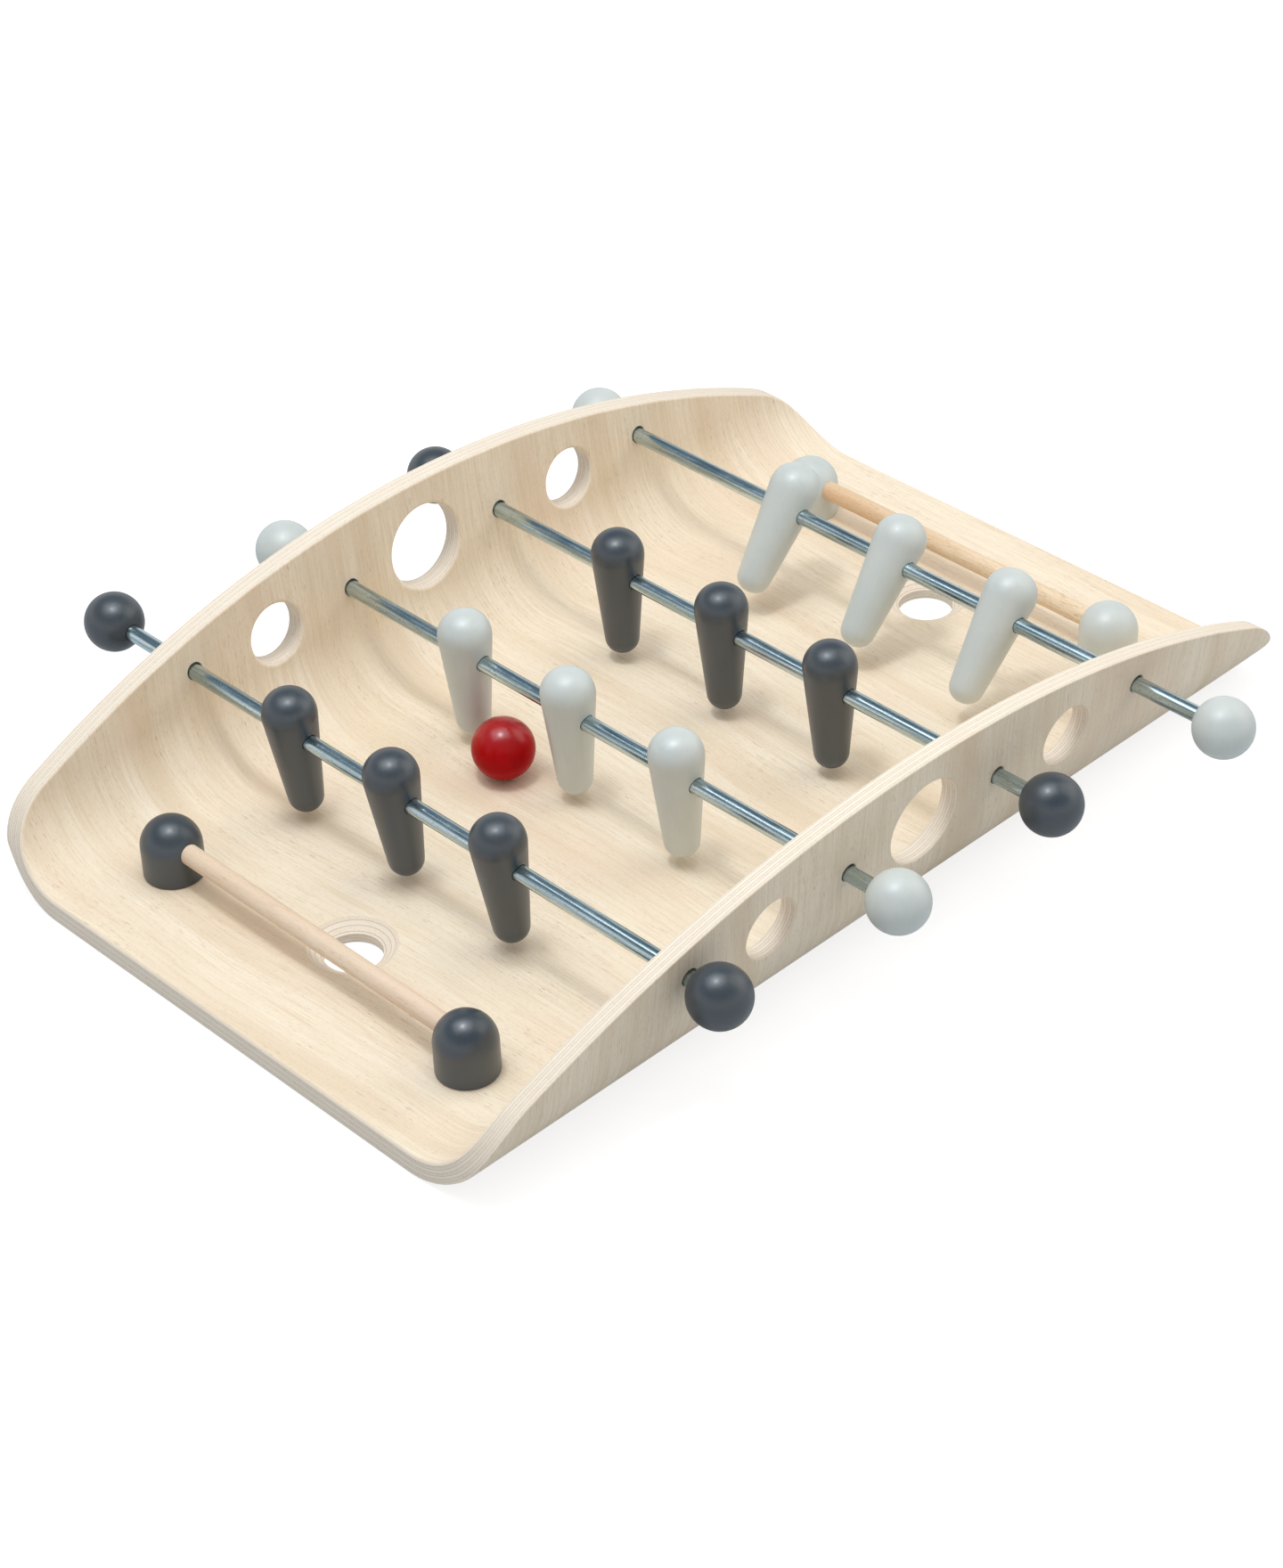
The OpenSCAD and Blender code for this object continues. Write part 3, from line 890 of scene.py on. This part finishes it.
def turnPieces(name, outline, values):
    mesh = bpy.data.meshes.new(name)
    links = [(k, k + 1) for k in range(len(outline) - 1)]
    mesh.from_pydata([(x, 0, z) for x, z in outline], links, [])
    piece = addObject(name, mesh)
    modifier = piece.modifiers.new("turning", "NODES")
    modifier.node_group = turnedPieces
    values = {"Segments": turning["segments"], **values}
    for item in turnedPieces.interface.items_tree:
        if item.in_out == "INPUT" and item.name in values:
            modifier[item.identifier] = values[item.name]
    graph = bpy.context.evaluated_depsgraph_get()
    piece.data = bpy.data.meshes.new_from_object(piece.evaluated_get(graph))
    piece.modifiers.clear()
    return piece


def ballArc(centre, radius, fromAngle, toAngle, steps, squareness=2.0):
    # half outline of a ball between two angles above its equator; 2 is round, and more is squarer
    made = []
    for angle in np.radians(np.linspace(fromAngle, toAngle, steps)):
        x, z = math.cos(angle), math.sin(angle)
        high = math.copysign(abs(z) ** (2 / squareness), z)
        made.append((radius * abs(x) ** (2 / squareness), centre + radius * high))
    return made


player = {
    "headRadius": 13.4 * mm, "headUp": 11.2 * mm, "footRadius": 8.85 * mm, "footDown": 37.8 * mm,
    "squareness": 2.12, "bore": 8.5 * mm, "headSteps": 18, "sideSteps": 8, "footSteps": 14,
    "lean": (5.2, 2.2, 1, -37.75),   # degrees that each row's feet swing towards +X
}
knob = {"radius": 15 * mm, "bore": 8.5 * mm, "boreDepth": 18 * mm, "steps": 37}
post = {
    "radius": 14.9 * mm, "height": 30.8 * mm, "edge": 1 * mm, "domeSteps": 24,
    "bore": 10.1 * mm, "boreDepth": 8.2 * mm, "barUp": 17.2 * mm,
}


def playerOutline(values):
    span = values["headUp"] + values["footDown"]
    taper = math.degrees(math.asin((values["headRadius"] - values["footRadius"]) / span))
    squareness, parts = values["squareness"], values["sideSteps"]
    head = ballArc(values["headUp"], values["headRadius"], 90, 0, values["headSteps"], squareness)
    head += ballArc(values["headUp"], values["headRadius"], -taper / 2, -taper, 2)
    foot = ballArc(-values["footDown"], values["footRadius"], -taper, -90, values["footSteps"],
                   squareness)
    side = [tuple(Vector(head[-1]).lerp(Vector(foot[0]), k / parts)) for k in range(1, parts)]
    return head + side + foot


def postOutline(values):
    shoulder = values["height"] - values["radius"]
    side = [(values["radius"], shoulder), (values["radius"], 0), (0, 0)]
    dome = ballArc(shoulder, values["radius"], 90, 0, values["domeSteps"])
    return dome + roundedPath(side, [values["edge"]])[1:]


def makeRow(row):
    place, tone = rodPlaces[row - 1], "dark" if row % 2 else "light"
    nodes = [f"player_{row}{letter}" for letter in "abc"]
    first, second = middleOf(nodes[0]), middleOf(nodes[1])
    players = turnPieces(f"row{row}Players", playerOutline(player), {
        "Bore Diameter": player["bore"], "Bore Length": 4 * player["headRadius"],
        "Count": 3, "First Place": (place.x, first.y, place.z), "Step": (0, second.y - first.y, 0),
        "Lean": (0, -math.radians(player["lean"][row - 1]), 0), "Paint": materials[tone]})
    finishPiece(players, f"row_{row}", f"{tone}_paint", *nodes)
    nodes = [f"knob_{row}_right", f"knob_{row}_left"]
    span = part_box(nodes[1])[1].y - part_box(nodes[0])[0].y - 2 * knob["radius"]
    knobs = turnPieces(f"row{row}Knobs", ballArc(0, knob["radius"], 90, -90, knob["steps"]), {
        "Bore Diameter": knob["bore"], "Bore Length": 2 * knob["boreDepth"],
        "Bore Middle": (0, knob["radius"], 0), "Count": 2,
        "First Place": (place.x, place.y - span / 2, place.z), "Step": (0, span, 0),
        "Turn Each": (0, 0, math.pi), "Paint": materials[tone]})
    finishPiece(knobs, f"row_{row}", f"{tone}_paint", *nodes)


def makePosts(tone):
    nodes = [f"{tone}_post_right", f"{tone}_post_left"]
    right, left = (middleOf(node) for node in nodes)
    posts = turnPieces(f"{tone}Posts", postOutline(post), {
        "Bore Diameter": post["bore"], "Bore Length": 2 * post["boreDepth"],
        "Bore Middle": (0, post["radius"], post["barUp"]), "Count": 2,
        "First Place": (right.x, right.y, sheetT), "Step": (0, left.y - right.y, 0),
        "Turn Each": (0, 0, math.pi), "Paint": materials[tone]})
    finishPiece(posts, "tray", f"{tone}_paint", *nodes)


for row in rows:
    makeRow(row)
makePosts("dark")
makePosts("light")
print("players, knobs and posts turned")

# Pieces whose shape the frame already has


def paintNode(name, material):
    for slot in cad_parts[name].material_slots:
        slot.material = material


for row in rows:
    paintNode(f"rod_{row}", materials["rod"])
paintNode("dark_goal_bar", materials["paleDowel"])
paintNode("light_goal_bar", materials["tanDowel"])
paintNode("ball", materials["ball"])
paintNode("post_screws", materials["screw"])
print("frame pieces finished")
